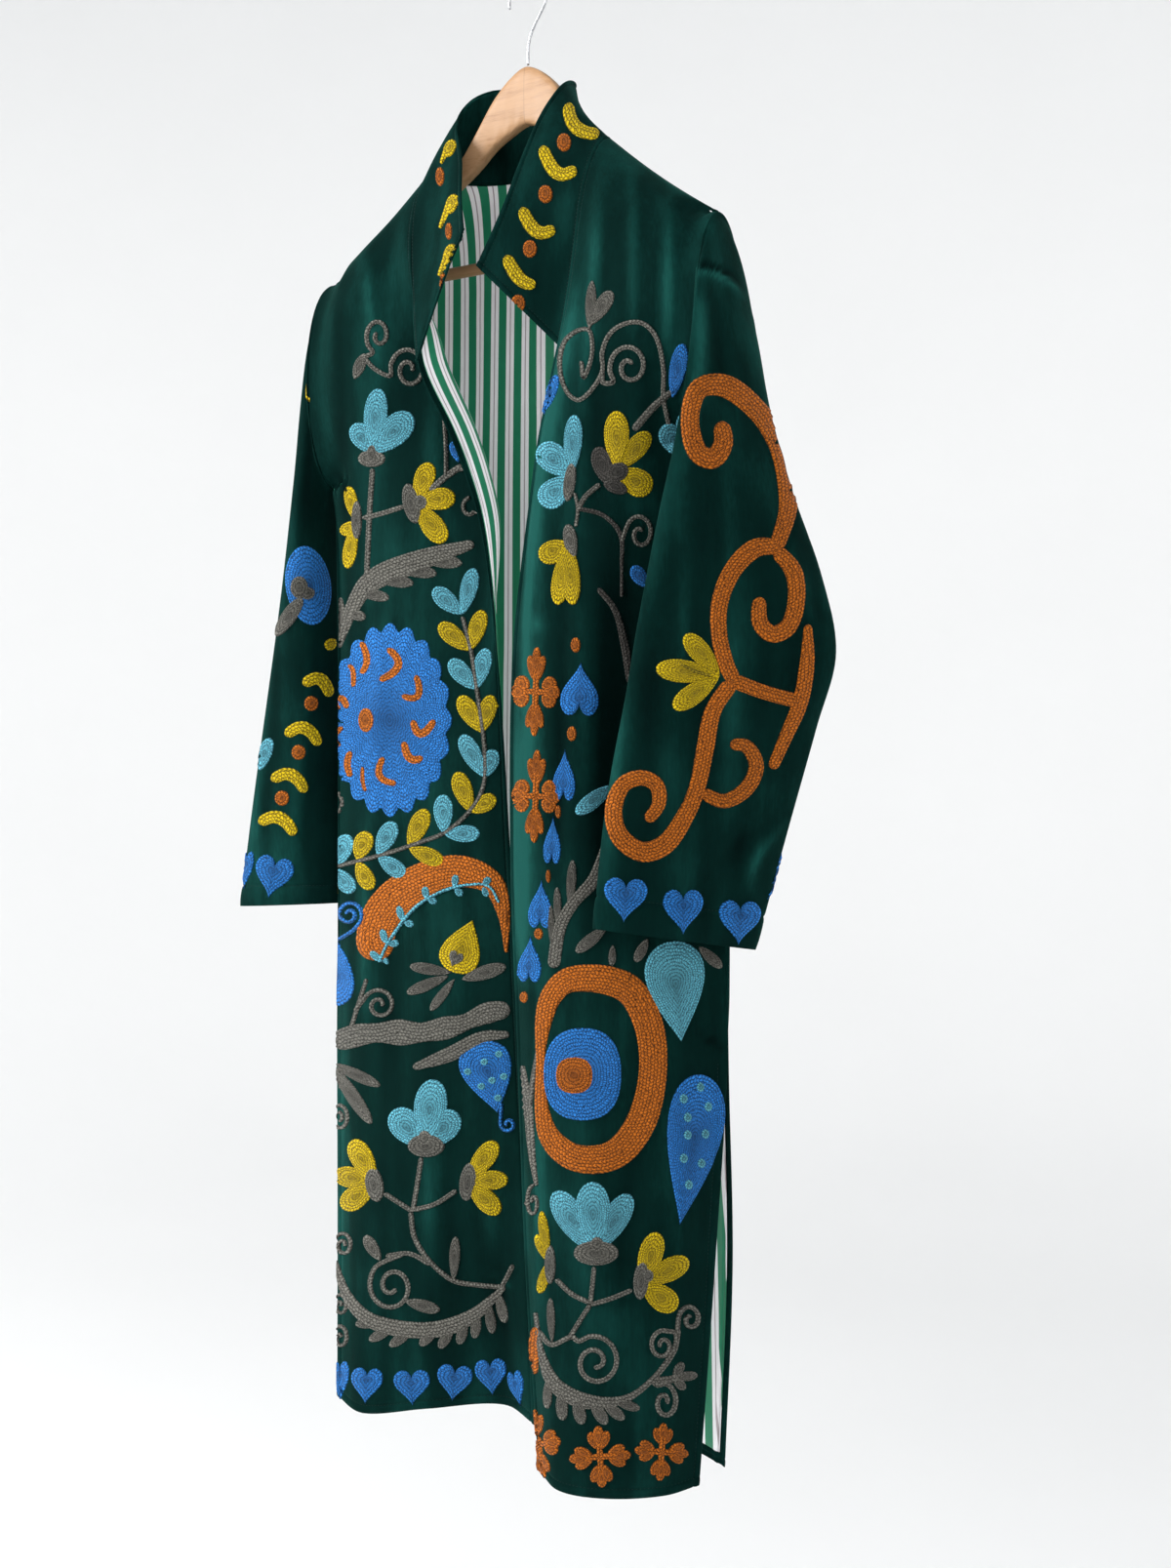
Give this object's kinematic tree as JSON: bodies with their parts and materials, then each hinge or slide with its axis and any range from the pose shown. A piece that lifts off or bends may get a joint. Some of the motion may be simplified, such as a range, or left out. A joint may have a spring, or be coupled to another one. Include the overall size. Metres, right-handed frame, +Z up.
{
  "type": "embroidered velvet long jacket on a wooden hanger",
  "caption": "Long open-front velvet coat with chain-stitch flowers, standing collar and striped satin lining, hung on a beech hanger with a wire hook.",
  "frame": {"origin": "inside top of the hook's bend, where the hanger hangs from a rail", "axes": "+Z up; the front of the coat faces -Y; +X is the wearer's left"},
  "size_m": [0.6934, 0.206, 1.4665],
  "materials": {
    "velvet": "deep green cotton velvet with short nap",
    "satin": "striped satin, half gloss",
    "beech": "clear satin lacquer",
    "steel": "bright drawn wire"
  },
  "bodies": {
    "root": {"front_left": "velvet", "front_right": "velvet", "back": "velvet", "sleeve_left": "velvet", "sleeve_right": "velvet", "collar": "velvet", "lining_front_left": "satin", "lining_front_right": "satin", "lining_back": "satin", "hanger_body": "beech", "hanger_bar": "beech", "hook": "steel"}
  },
  "joints": []
}
